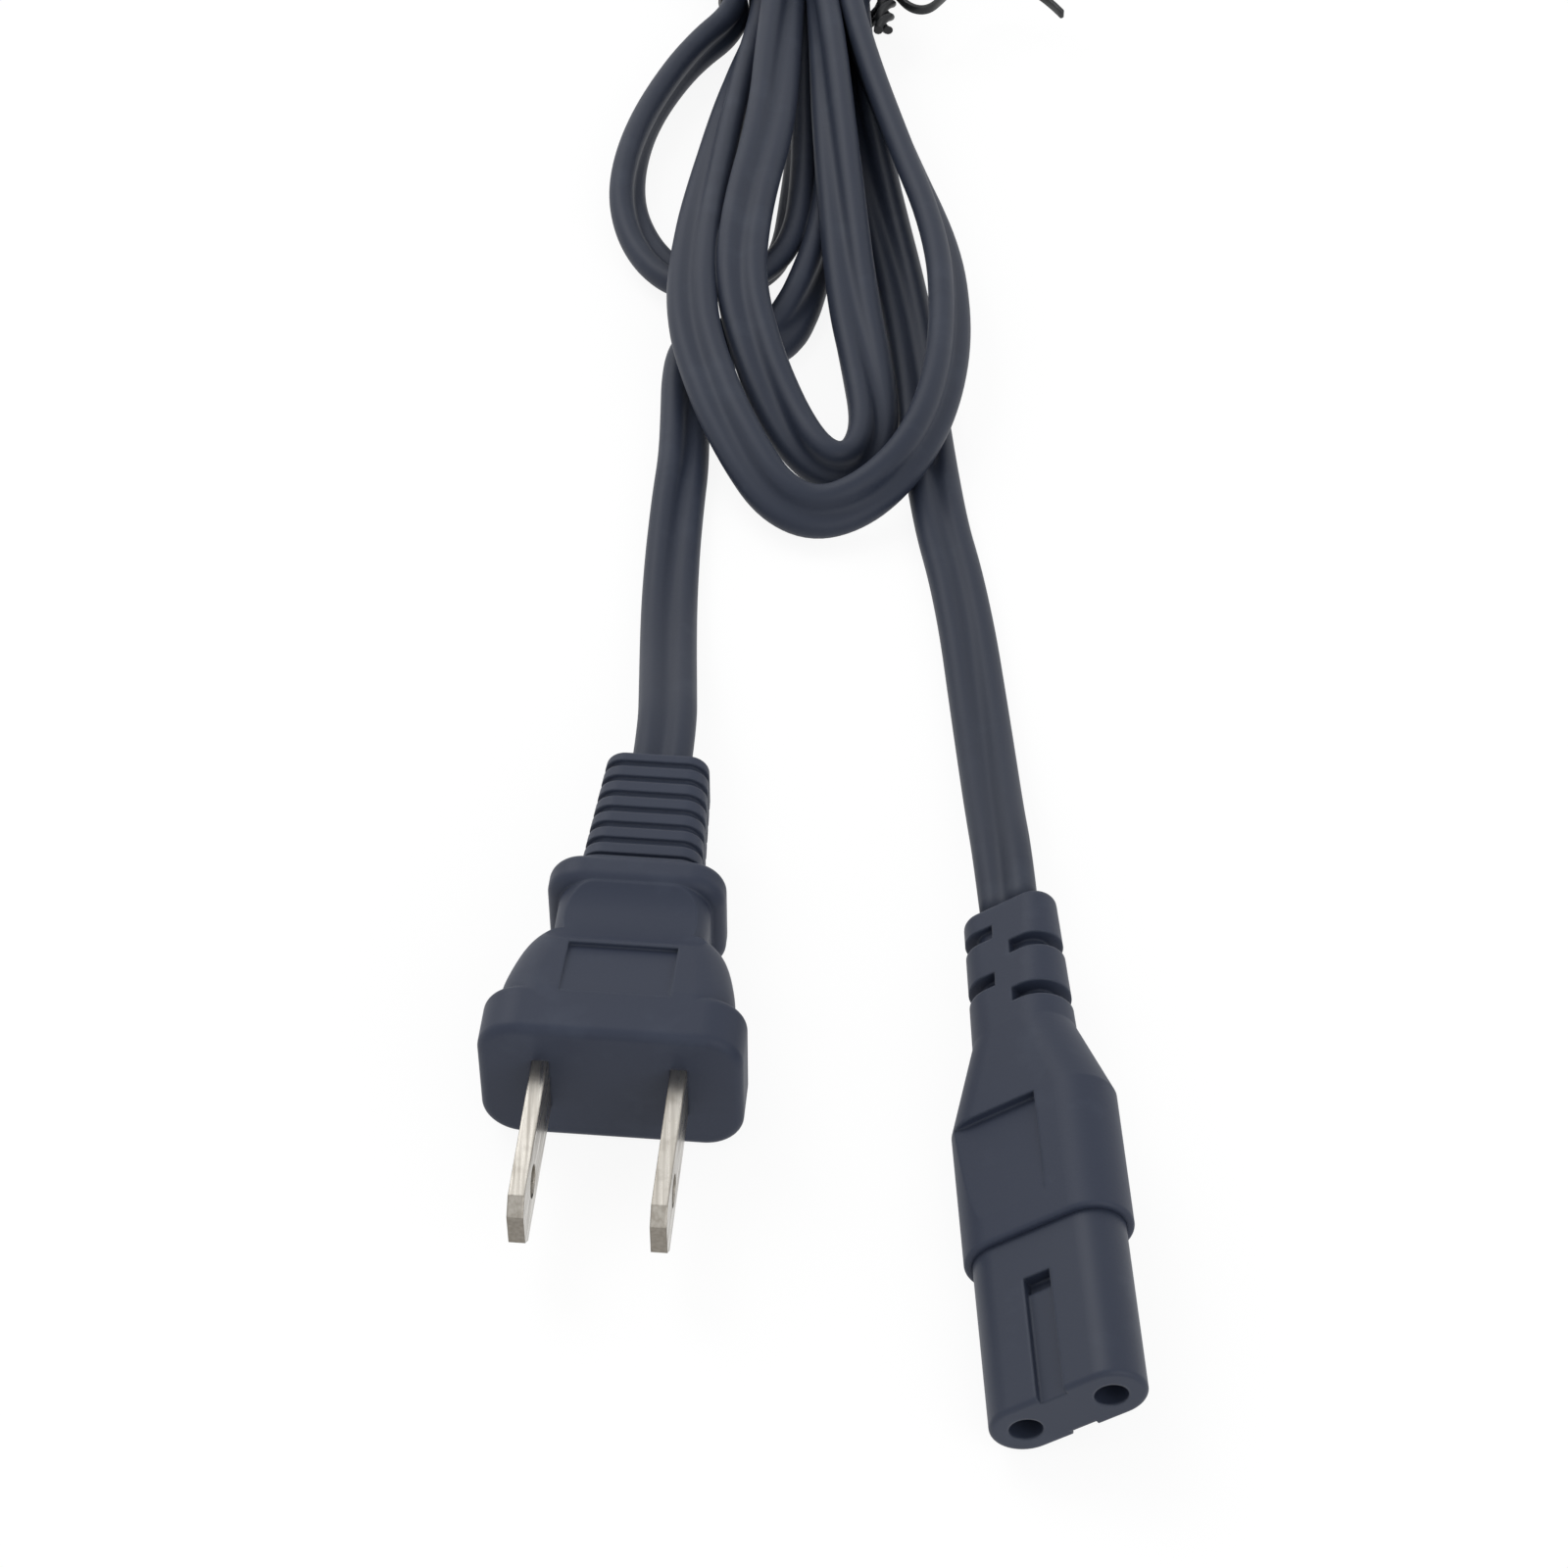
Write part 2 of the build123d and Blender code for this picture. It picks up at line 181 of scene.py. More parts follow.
@dataclass
class Effects:
    """The surface effects that several finishes share, each a node group that is built once."""

    grain_scale: float = 3200.0
    grain_detail: float = 2.0
    grain_share: float = 0.25
    cloud_scale: float = 70.0
    cloud_detail: float = 4.0
    cloud_share: float = 0.75
    edge_radius: float = 0.0004
    edge_samples: int = 6
    edge_gain: float = 6.0
    scuff_scale: float = 160.0
    scuff_detail: float = 6.0
    scuff_range: Pair = (0.56, 0.74)

    def __post_init__(self) -> None:
        """Builds the groups."""
        self.grain = self._grain()
        self.edges = self._edges()
        self.scuffs = self._scuffs()

    def _grain(self) -> bpy.types.NodeTree:
        """Builds the fine spark-eroded grain of a mould, with a broad cloudiness, and returns its group."""
        sketch, given, out = effect_group(
            "moulded_grain",
            {"Grain Scale": self.grain_scale, "Cloud Scale": self.cloud_scale},
            {"Shade": "NodeSocketFloat", "Height": "NodeSocketFloat"},
        )
        place = sketch.add("TexCoord").outputs["Object"]
        fine = sketch.noise(place, given.outputs["Grain Scale"], self.grain_detail)
        broad = sketch.noise(place, given.outputs["Cloud Scale"], self.cloud_detail)
        shade = sketch.math("ADD", sketch.part(broad, self.cloud_share), sketch.part(fine, self.grain_share))
        sketch.feed(out.inputs["Shade"], shade)
        sketch.feed(out.inputs["Height"], fine)
        return sketch.tree

    def _edges(self) -> bpy.types.NodeTree:
        """Builds softened edges, a rounded normal and a mask along them, and returns the group. The mask
        lightens moulded edges as wear and darkens metal edges as painted shade.
        """
        sketch, given, out = effect_group(
            "rubbed_and_shaded_edges",
            {"Radius": self.edge_radius},
            {"Edge": "NodeSocketFloat", "Normal": "NodeSocketVector"},
        )
        bevel = sketch.add("Bevel", {"Radius": given.outputs["Radius"]}, samples=self.edge_samples)
        rounded = bevel.outputs["Normal"]
        straight = sketch.add("NewGeometry").outputs["Normal"]
        dot = sketch.add("VectorMath", {0: rounded, 1: straight}, operation="DOT_PRODUCT").outputs["Value"]
        away = sketch.math("SUBTRACT", 1.0, dot)
        sketch.feed(out.inputs["Edge"], sketch.math("MULTIPLY", away, self.edge_gain, clamp=True))
        sketch.feed(out.inputs["Normal"], rounded)
        return sketch.tree

    def _scuffs(self) -> bpy.types.NodeTree:
        """Builds faint handling marks in patches and returns the group."""
        sketch, given, out = effect_group(
            "handling_scuffs", {"Scale": self.scuff_scale}, {"Scuff": "NodeSocketFloat"}
        )
        place = sketch.add("TexCoord").outputs["Object"]
        patch = sketch.noise(place, given.outputs["Scale"], self.scuff_detail)
        sketch.feed(out.inputs["Scuff"], sketch.picked(patch, *self.scuff_range))
        return sketch.tree


@dataclass(frozen=True)
class PvcFinish:
    """Satin black PVC: a slate tone with grain, rubbed edges and faint scuffs."""

    name: str
    deep: Colour
    pale: Colour
    rubbed: Colour
    roughness: Pair
    grain_scale: float = 3200.0
    grain_depth: float = 0.25
    grain_height: float = 0.00004
    edge_radius: float = 0.0004
    edge_share: float = 0.6
    edge_polish: float = 0.08
    scuff_share: float = 0.35
    specular: float = 0.3

    def material(self, effects: Effects) -> bpy.types.Material:
        """Builds the material.

        Args:
            effects: The shared node groups.

        Returns:
            The new material.
        """
        made, sketch = blank_material(self.name)
        grain = sketch.add("Group", node_tree=effects.grain)
        grain.inputs["Grain Scale"].default_value = self.grain_scale
        edges = sketch.add("Group", node_tree=effects.edges)
        edges.inputs["Radius"].default_value = self.edge_radius
        scuffs = sketch.add("Group", node_tree=effects.scuffs)
        shade, edge = grain.outputs["Shade"], edges.outputs["Edge"]
        tone = sketch.tone(shade, self.deep, self.pale)
        tone = sketch.tone(sketch.part(scuffs.outputs["Scuff"], self.scuff_share), tone, self.rubbed)
        tone = sketch.tone(sketch.part(edge, self.edge_share), tone, self.rubbed)
        rough = sketch.span(shade, *self.roughness)
        rough = sketch.math("SUBTRACT", rough, sketch.part(edge, self.edge_polish))
        normal = sketch.bump(
            grain.outputs["Height"], edges.outputs["Normal"], self.grain_depth, self.grain_height
        )
        shader = sketch.add(
            "BsdfPrincipled",
            {"Base Color": tone, "Roughness": rough, "Specular IOR Level": self.specular, "Normal": normal},
        )
        sketch.show(shader)
        return made


@dataclass(frozen=True)
class MetalFinish:
    """Rolled and plated metal: bright, with streaks along the strip, edges darkened as painted shade, and
    rougher end faces darkened as painted shade.
    """

    name: str
    bright: Colour
    dull: Colour
    roughness: Pair
    strip: Point = (0.0, 1.0, 0.0)
    streaks: Point = (2600.0, 90.0, 2600.0)
    streak_detail: float = 3.0
    streak_range: Pair = (0.34, 0.66)
    streak_share: float = 0.6
    streak_depth: float = 0.15
    streak_height: float = 0.00002
    # Share of painted shade on the end faces.
    end_shade_share: float = 0.85
    sheared_roughness: float = 0.12
    edge_radius: float = 0.00025
    edge_share: float = 0.6
    scuff_scale: float = 420.0
    scuff_share: float = 0.5

    def material(self, effects: Effects) -> bpy.types.Material:
        """Builds the material.

        Args:
            effects: The shared node groups.

        Returns:
            The new material.
        """
        made, sketch = blank_material(self.name)
        place = sketch.add("TexCoord")
        drawn = sketch.add("Mapping", {"Vector": place.outputs["Object"], "Scale": self.streaks})
        cloud = sketch.noise(drawn.outputs["Vector"], 1.0, self.streak_detail)
        streak = sketch.picked(cloud, *self.streak_range)
        # The end faces, those that face along the strip, found by their normal; their colour is darkened
        # below as painted shade.
        along = sketch.add("VectorMath", {0: place.outputs["Normal"], 1: self.strip}, operation="DOT_PRODUCT")
        end_faces = sketch.math("POWER", along.outputs["Value"], 2.0)
        edges = sketch.add("Group", node_tree=effects.edges)
        edges.inputs["Radius"].default_value = self.edge_radius
        scuffs = sketch.add("Group", node_tree=effects.scuffs)
        scuffs.inputs["Scale"].default_value = self.scuff_scale
        tone = sketch.tone(sketch.part(scuffs.outputs["Scuff"], self.scuff_share), self.bright, self.dull)
        tone = sketch.tone(sketch.part(streak, self.streak_share), tone, self.dull)
        # Painted shade: metal edges are darkened towards the dull colour.
        tone = sketch.tone(sketch.part(edges.outputs["Edge"], self.edge_share), tone, self.dull)
        # Painted shade: the end faces are darkened towards the dull colour.
        tone = sketch.tone(sketch.part(end_faces, self.end_shade_share), tone, self.dull)
        rough = sketch.span(streak, *self.roughness)
        rough = sketch.math("ADD", rough, sketch.part(end_faces, self.sheared_roughness))
        normal = sketch.bump(streak, edges.outputs["Normal"], self.streak_depth, self.streak_height)
        shader = sketch.add(
            "BsdfPrincipled", {"Base Color": tone, "Metallic": 1.0, "Roughness": rough, "Normal": normal}
        )
        sketch.show(shader)
        return made


SLATE_MOULDING = PvcFinish(
    "slate_moulding",
    deep=(0.022, 0.029, 0.052, 1),
    pale=(0.034, 0.043, 0.071, 1),
    rubbed=(0.056, 0.070, 0.104, 1),
    roughness=(0.46, 0.60),
)
SLATE_INSERT = PvcFinish(
    "slate_insert",
    deep=(0.023, 0.030, 0.052, 1),
    pale=(0.034, 0.043, 0.070, 1),
    rubbed=(0.057, 0.070, 0.102, 1),
    roughness=(0.40, 0.52),
    grain_scale=4200.0,
    grain_depth=0.12,
)
SLATE_CORD = PvcFinish(
    "slate_cord",
    deep=(0.019, 0.025, 0.044, 1),
    pale=(0.030, 0.038, 0.060, 1),
    rubbed=(0.050, 0.062, 0.090, 1),
    roughness=(0.44, 0.58),
    grain_scale=2600.0,
    grain_depth=0.18,
)
TIE_PLASTIC = PvcFinish(
    "tie_plastic",
    deep=(0.016, 0.017, 0.019, 1),
    pale=(0.028, 0.030, 0.033, 1),
    rubbed=(0.08, 0.084, 0.09, 1),
    roughness=(0.26, 0.4),
    grain_scale=4200.0,
    grain_depth=0.1,
    edge_radius=0.0002,
)
BRIDGE_PLASTIC = PvcFinish(
    "bridge_plastic",
    deep=(0.03, 0.03, 0.032, 1),
    pale=(0.045, 0.045, 0.047, 1),
    rubbed=(0.07, 0.07, 0.075, 1),
    roughness=(0.5, 0.6),
)
NICKEL_PLATE = MetalFinish(
    "nickel_plate", bright=(0.56, 0.535, 0.49, 1), dull=(0.22, 0.198, 0.168, 1), roughness=(0.22, 0.42)
)
CONTACT_BRASS = MetalFinish(
    "contact_brass", bright=(0.78, 0.60, 0.30, 1), dull=(0.55, 0.40, 0.19, 1), roughness=(0.26, 0.4)
)
BARE_COPPER = MetalFinish(
    "bare_copper", bright=(0.80, 0.40, 0.24, 1), dull=(0.55, 0.25, 0.14, 1), roughness=(0.28, 0.42)
)


def smooth_line(name: str, points: Sequence[Point], resolution: int) -> list[Vector]:
    """Reads a smooth line off a NURBS spline.

    Args:
        name: Name of the spline while it exists.
        points: Its control points.
        resolution: Steps between two control points.

    Returns:
        Points along the spline.
    """
    curve = bpy.data.curves.new(name, "CURVE")
    curve.dimensions = "3D"
    spline = curve.splines.new("NURBS")
    spline.points.add(len(points) - 1)
    for slot, point in zip(spline.points, points):
        slot.co = (*point, 1.0)
    spline.order_u = 3
    spline.use_endpoint_u = True
    spline.resolution_u = resolution
    holder = bpy.data.objects.new(name, curve)
    bpy.context.scene.collection.objects.link(holder)
    bpy.context.view_layer.update()
    mesh = bpy.data.meshes.new_from_object(holder)
    line = [vertex.co.copy() for vertex in mesh.vertices]
    bpy.data.meshes.remove(mesh)
    bpy.data.objects.remove(holder)
    bpy.data.curves.remove(curve)
    return line


@dataclass(frozen=True)
class Lane:
    """One strand's place in the tie: across from its middle, up from the floor, and its roll in degrees."""

    across: float
    up: float
    roll: float


@dataclass(frozen=True)
class Station:
    """One control point of the cord's line, with the roll of its broad side from level, in degrees."""

    place: Point
    roll: float


def eased(keys: Sequence[float], share: float, fan: Pair = (1.0, 1.0)) -> float:
    """Reads a smooth value between evenly spaced keys.

    Args:
        keys: The values, first to last.
        share: How far along them, from 0 to 1.
        fan: Slope at the first and at the last key: 1 makes for the next key, -1 starts level.

    Returns:
        The value on a curve through the keys.
    """
    last = len(keys) - 1
    place = share * last
    here = min(int(place), last - 1)
    part = place - here
    before = keys[here - 1] if here > 0 else keys[0] - fan[0] * (keys[1] - keys[0])
    after = keys[here + 2] if here + 2 <= last else keys[last] + fan[1] * (keys[last] - keys[last - 1])
    start, end = keys[here], keys[here + 1]
    bend = 2 * before - 5 * start + 4 * end - after
    twist = 3 * start - before - 3 * end + after
    return 0.5 * (2 * start + (end - before) * part + bend * part**2 + twist * part**3)


@dataclass(frozen=True)
class HankLoop:
    """One loop of the hank, which hangs from the tie.

    Offsets across the hank, heights and rolls are given at even steps of the way round between the two lanes:
    at eighths, or at sixteenths where the photograph shows more.
    """

    way: Way
    reach: float
    across: Keys
    heights: Keys
    rolls: Keys
    fan: Pair = (1.0, 1.0)
    steps: int = 15

    def stations(self, tie: "Tie", first: Lane, last: Lane) -> list[Station]:
        """Works out the loop's control points.

        Args:
            tie: What holds the hank.
            first: The lane that the cord leaves by.
            last: The lane that it comes back to.

        Returns:
            Stations in order, without those in the tie itself.
        """
        across = (first.across, *self.across, last.across)
        heights = (first.up, *self.heights, last.up)
        rolls = (first.roll, *self.rolls, last.roll)
        found = []
        for step in range(self.steps):
            share = (step + 1) / (self.steps + 1)
            x = tie.x + eased(across, share, self.fan)
            y = tie.y + self.way.value * self.reach * math.sin(math.pi * share)
            found.append(Station((x, y, eased(heights, share)), eased(rolls, share)))
        return found


@dataclass
class Tie:
    """The twist tie round the middle of the hank: a ridged band, a twisted stem and a loose tail."""

    x: float = 0.0008
    y: float = 0.1823
    lane_half: float = 0.004
    width: float = 0.0202
    height: float = 0.0124
    corner: float = 0.0033
    corner_segments: int = 6
    middle: float = 0.0067
    band: float = 0.0032
    flank_share: float = 0.36
    slope_share: float = 0.14
    thickness: float = 0.0006
    ridge: float = 0.00035
    wire: float = 0.00062
    wire_points: int = 10
    stem_root: Point = (0.0121, 0.1825, 0.0074)
    stem_step: Point = (-0.00003, -0.00026, -0.00006)
    stem_steps: int = 34
    stem_turns: float = 2.0
    tail: tuple[Point, ...] = (
        (0.0114, 0.1823, 0.0072), (0.0129, 0.1788, 0.0071), (0.0146, 0.1761, 0.0069),
        (0.0168, 0.1759, 0.0068), (0.0188, 0.1788, 0.0068), (0.0214, 0.1839, 0.0066),
        (0.0252, 0.1857, 0.0062), (0.0298, 0.1833, 0.0056), (0.0327, 0.1800, 0.0052),
        (0.0340, 0.1779, 0.0049),
    )
    tail_width: float = 0.0012
    tail_thickness: float = 0.0006
    tail_resolution: int = 5
    soft_share: float = 0.3
    soft_segments: int = 2
    smooth_angle: float = 40.0

    def through(self, lane: Lane, way: Way) -> list[Station]:
        """Gives the two stations at which a strand passes the tie.

        Args:
            lane: Where it passes.
            way: Which side of the tie it goes to.

        Returns:
            The station before the tie and the one after it.
        """
        ends = (self.y - way.value * self.lane_half, self.y + way.value * self.lane_half)
        return [Station((self.x + lane.across, y, lane.up), lane.roll) for y in ends]

    def build(self) -> bpy.types.Object:
        """Models the tie as one object and returns it."""
        pieces = [self._band(), self._stem(), self._tail()]
        bpy.ops.object.select_all(action="DESELECT")
        for piece in pieces:
            piece.select_set(True)
        bpy.context.view_layer.objects.active = pieces[0]
        bpy.ops.object.join()
        tie = bpy.context.object
        tie.name = "twist_tie_dressed"
        bpy.ops.object.shade_smooth_by_angle(angle=math.radians(self.smooth_angle))
        LOG.info("twist_tie_dressed: %d faces", len(tie.data.polygons))
        return tie

    @staticmethod
    def dress(wrap: bpy.types.Object, finish: bpy.types.Material) -> None:
        """Paints the tie, hangs it on the root body and hides the CAD node that it replaces.

        Args:
            wrap: The tie's object.
            finish: Its material.
        """
        wrap.data.materials.clear()
        wrap.data.materials.append(finish)
        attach(wrap, ROOT_BODY)
        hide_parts("twist_tie")

    def _band(self) -> bpy.types.Object:
        """Draws the band: a rounded outline pulled out along the hank, swelling over its wire."""
        bpy.ops.object.select_all(action="DESELECT")
        bpy.ops.mesh.primitive_plane_add(size=1.0)
        bpy.ops.object.mode_set(mode="EDIT")
        bpy.ops.mesh.select_all(action="SELECT")
        bpy.ops.transform.resize(value=(self.width, self.height, 1.0))
        bpy.ops.mesh.bevel(offset=self.corner, segments=self.corner_segments, affect="VERTICES")
        bpy.ops.mesh.delete(type="ONLY_FACE")
        bpy.ops.mesh.select_all(action="SELECT")
        self._stand_up()
        bpy.ops.transform.translate(value=(self.x, self.y - self.band / 2, self.middle))
        swell = 1.0 + 2 * self.ridge / self.width
        flank = (self.flank_share, 1.0)
        rise, fall = (self.slope_share, swell), (self.slope_share, 1.0 / swell)
        for share, scale in (flank, rise, fall, flank):
            bpy.ops.mesh.extrude_region_move(TRANSFORM_OT_translate={"value": (0.0, self.band * share, 0.0)})
            bpy.ops.transform.resize(value=(scale, 1.0, scale), center_override=(self.x, self.y, self.middle))
        bpy.ops.object.mode_set(mode="OBJECT")
        return self._thickened(bpy.context.object, self.thickness)

    def _stem(self) -> bpy.types.Object:
        """Twists two wires round each other towards the viewer."""
        bpy.ops.object.select_all(action="DESELECT")
        bpy.ops.mesh.primitive_circle_add(vertices=self.wire_points, radius=self.wire, fill_type="NGON")
        bpy.ops.object.mode_set(mode="EDIT")
        bpy.ops.mesh.select_all(action="SELECT")
        bpy.ops.transform.translate(value=(self.wire, 0.0, 0.0))
        bpy.ops.mesh.primitive_circle_add(
            vertices=self.wire_points, radius=self.wire, fill_type="NGON", location=(-self.wire, 0.0, 0.0)
        )
        bpy.ops.mesh.select_all(action="SELECT")
        self._stand_up()
        bpy.ops.transform.translate(value=self.stem_root)
        centre = Vector(self.stem_root)
        turn = 2 * math.pi * self.stem_turns / self.stem_steps
        for _ in range(self.stem_steps):
            centre += Vector(self.stem_step)
            bpy.ops.mesh.extrude_region_move(TRANSFORM_OT_translate={"value": self.stem_step})
            bpy.ops.transform.rotate(value=turn, orient_axis="Y", center_override=centre)
        bpy.ops.mesh.select_all(action="SELECT")
        bpy.ops.mesh.normals_make_consistent(inside=False)
        bpy.ops.object.mode_set(mode="OBJECT")
        return bpy.context.object

    def _tail(self) -> bpy.types.Object:
        """Draws the loose tail: an upright strip that waves away over the floor."""
        line = smooth_line("tie_tail", self.tail, self.tail_resolution)
        bpy.ops.object.select_all(action="DESELECT")
        bpy.ops.mesh.primitive_plane_add(size=self.tail_width)
        strip = bpy.context.object
        bpy.ops.object.mode_set(mode="EDIT")
        bpy.ops.mesh.select_all(action="SELECT")
        self._stand_up()
        bpy.ops.mesh.delete(type="EDGE_FACE")
        bpy.ops.object.mode_set(mode="OBJECT")
        for vertex in strip.data.vertices:
            vertex.select = vertex.co.x < 0.0
        bpy.ops.object.mode_set(mode="EDIT")
        bpy.ops.mesh.delete(type="VERT")
        bpy.ops.mesh.select_all(action="SELECT")
        bpy.ops.mesh.edge_face_add()
        bpy.ops.transform.translate(value=line[0] - Vector((self.tail_width / 2, 0.0, 0.0)))
        for before, after in zip(line, line[1:]):
            bpy.ops.mesh.extrude_region_move(TRANSFORM_OT_translate={"value": after - before})
        bpy.ops.object.mode_set(mode="OBJECT")
        return self._thickened(strip, self.tail_thickness)

    @staticmethod
    def _stand_up() -> None:
        """Turns what is selected from lying flat to facing along the hank."""
        bpy.ops.transform.rotate(value=math.pi / 2, orient_axis="X", center_override=(0.0, 0.0, 0.0))

    def _thickened(self, piece: bpy.types.Object, thickness: float) -> bpy.types.Object:
        """Gives a thin strip its thickness and soft edges, and returns it."""
        solid = piece.modifiers.new("thickness", "SOLIDIFY")
        solid.thickness = thickness
        solid.offset = 0.0
        soft = piece.modifiers.new("soft_edges", "BEVEL")
        soft.width = thickness * self.soft_share
        soft.segments = self.soft_segments
        soft.limit_method = "ANGLE"
        for name in ("thickness", "soft_edges"):
            bpy.ops.object.modifier_apply(modifier=name)
        return piece


@dataclass
class FlatCord:
    """The flat twin cord from the plug's tail through the hank to the connector's tail."""

    tie: Tie
    width: float = 0.006
    thickness: float = 0.003
    groove_depth: float = 0.00055
    length: float = 1.5
    lobe_points: int = 13
    resolution: int = 8
    plug_tail: Point = (-0.013865, 0.037367, 0.0075)
    plug_out: Point = (-0.013203, 0.044938, 0.0075)
    plug_lead: tuple[Point, ...] = (
        (-0.0134, 0.0533, 0.0053), (-0.0136, 0.0613, 0.0032), (-0.0137, 0.0698, 0.0019),
        (-0.0135, 0.0783, 0.0016), (-0.0131, 0.0863, 0.00152), (-0.0126, 0.0928, 0.00152),
    )
    plug_level: int = 3
    plug_roll: float = 30.0
    plug_under: Stops = (
        ((-0.0126, 0.1003, 0.0015), 32.0), ((-0.0126, 0.1062, 0.0015), 28.0),
        ((-0.0121, 0.1116, 0.0015), 26.0), ((-0.0098, 0.1143, 0.0015), 26.0),
        ((-0.0064, 0.1138, 0.0015), 28.0), ((-0.0037, 0.1137, 0.0015), 32.0),
        ((-0.0015, 0.1157, 0.0015), 44.0), ((0.0001, 0.1195, 0.0015), 54.0),
        ((0.0015, 0.1247, 0.0015), 66.0), ((0.0028, 0.1313, 0.0015), 75.0),
        ((0.0039, 0.1403, 0.0015), 80.0), ((0.0042, 0.1513, 0.0015), 78.0),
        ((0.0045, 0.1633, 0.0030), 85.0),
    )
    connector_under: Stops = (
        ((0.0081, 0.1673, 0.0015), 70.0), ((0.0088, 0.1533, 0.0015), 42.0),
        ((0.0103, 0.1393, 0.0015), 18.0), ((0.0122, 0.1258, 0.0015), 4.0),
        ((0.0136, 0.1123, 0.0015), 0.0), ((0.0144, 0.0983, 0.0015), 0.0),
    )
    connector_lead: tuple[Point, ...] = (
        (0.0157, 0.0828, 0.00152), (0.0170, 0.0748, 0.00152), (0.0180, 0.0653, 0.0016),
        (0.0186, 0.0558, 0.0018), (0.0191, 0.0463, 0.0027), (0.0195, 0.0363, 0.0045),
    )
    connector_out: Point = (0.019936, 0.028040, 0.006237)
    connector_tail: Point = (0.020261, 0.020447, 0.006237)
    connector_level: int = 2
    connector_roll: float = 33.0

    def lanes(self) -> dict[str, Lane]:
        """Gives where each of the eight strands passes through the tie."""
        return {
            "plug_lead": Lane(0.0037, 0.0038, 85.0),
            "small_out": Lane(0.0003, 0.0038, 85.0),
            "small_back": Lane(-0.0083, 0.0038, 88.0),
            "outer_out": Lane(-0.0051, 0.0038, 82.0),
            "outer_back": Lane(0.0053, 0.0096, 88.0),
            "inner_out": Lane(0.0022, 0.0096, 80.0),
            "inner_back": Lane(-0.0021, 0.0092, 45.0),
            "connector_lead": Lane(0.0071, 0.0038, 86.0),
        }

    def loops(self) -> list[HankLoop]:
        """Gives the loops in the order in which the cord runs through them, far and near in turn."""
        low, high, edgeways = (0.0030,) * EIGHTHS, (0.0092,) * EIGHTHS, (80,) * EIGHTHS
        to_small = HankLoop(
            Way.FAR,
            reach=0.068,
            across=(
                0.0072, 0.0112, 0.0158, 0.0200, 0.0224, 0.0216, 0.0179, 0.0131,
                0.0083, 0.0046, 0.0036, 0.0026, 0.0016, 0.0009, 0.0005,
            ),
            heights=low,
            rolls=edgeways,
        )
        small = HankLoop(
            Way.NEAR,
            reach=0.0585,
            across=(
                0.0001, -0.0001, -0.0003, -0.0008, -0.0015, -0.0031, -0.0065, -0.0102,
                -0.0137, -0.0169, -0.0197, -0.0213, -0.0209, -0.0187, -0.0140,
            ),
            heights=(0.0031, 0.0030, 0.0029, 0.0024, 0.0022, 0.0026, 0.0030),
            rolls=(84, 64, 62, 36, 20, 60, 98),
        )
        to_outer = HankLoop(
            Way.FAR,
            reach=0.070,
            across=(
                -0.0118, -0.0160, -0.0206, -0.0250, -0.0279, -0.0271, -0.0235, -0.0186,
                -0.0137, -0.0101, -0.0091, -0.0082, -0.0073, -0.0064, -0.0057,
            ),
            heights=low,
            rolls=edgeways,
        )
        outer = HankLoop(
            Way.NEAR,
            reach=0.0999,
            across=(
                -0.0080, -0.0106, -0.0126, -0.0130, -0.0102, -0.0066, -0.0032, 0.0015,
                0.0070, 0.0120, 0.0153, 0.0169, 0.0163, 0.0120, 0.0078,
            ),
            heights=(0.0064, 0.0081, 0.0058, 0.0032, 0.0059, 0.0070, 0.0076),
            rolls=(40, 14, 32, 56, 66, 48, 70),
            fan=(1.0, -1.0),
        )
        to_inner = HankLoop(
            Way.FAR,
            reach=0.058,
            across=(
                0.0085, 0.0125, 0.0165, 0.0197, 0.0216, 0.0205, 0.0170, 0.0126,
                0.0082, 0.0047, 0.0036, 0.0033, 0.0030, 0.0027, 0.0024,
            ),
            heights=high,
            rolls=edgeways,
        )
        inner = HankLoop(
            Way.NEAR,
            reach=0.0918,
            across=(
                0.0031, 0.0038, 0.0047, 0.0057, 0.0073, 0.0080, 0.0063, 0.0036,
                0.0006, -0.0023, -0.0053, -0.0075, -0.0065, -0.0038, -0.0029,
            ),
            heights=(0.0088, 0.0057, 0.0032, 0.0030, 0.0048, 0.0089, 0.0096),
            rolls=(40, 10, -30, -80, -30, -8, 10),
        )
        to_connector = HankLoop(
            Way.FAR,
            reach=0.090,
            across=(-0.0076, -0.0158, -0.0160, 0.0000, 0.0182, 0.0287, 0.0192),
            heights=(0.0092, 0.0093, 0.0084, 0.0052, 0.0036, 0.0032, 0.0032),
            rolls=(64, 80, 80, 80, 80, 80, 84),
        )
        return [to_small, small, to_outer, outer, to_inner, inner, to_connector]

    def stations(self) -> list[Station]:
        """Strings the leads, the lanes and the loops together, and returns the cord's control points."""
        lanes = list(self.lanes().values())
        plug_end = (self.plug_tail, self.plug_out, *self.plug_lead)
        found = self.lead(plug_end, self.plug_level, self.plug_roll)
        found += [Station(place, roll) for place, roll in self.plug_under]
        for number, loop in enumerate(self.loops()):
            found += self.tie.through(lanes[number], loop.way)
            found += loop.stations(self.tie, lanes[number], lanes[number + 1])
        found += self.tie.through(lanes[-1], Way.NEAR)
        found += [Station(place, roll) for place, roll in self.connector_under]
        connector_end = (*self.connector_lead, self.connector_out, self.connector_tail)
        found += self.lead(connector_end, self.connector_level, self.connector_roll)
        return [self.rested(station) for station in found]

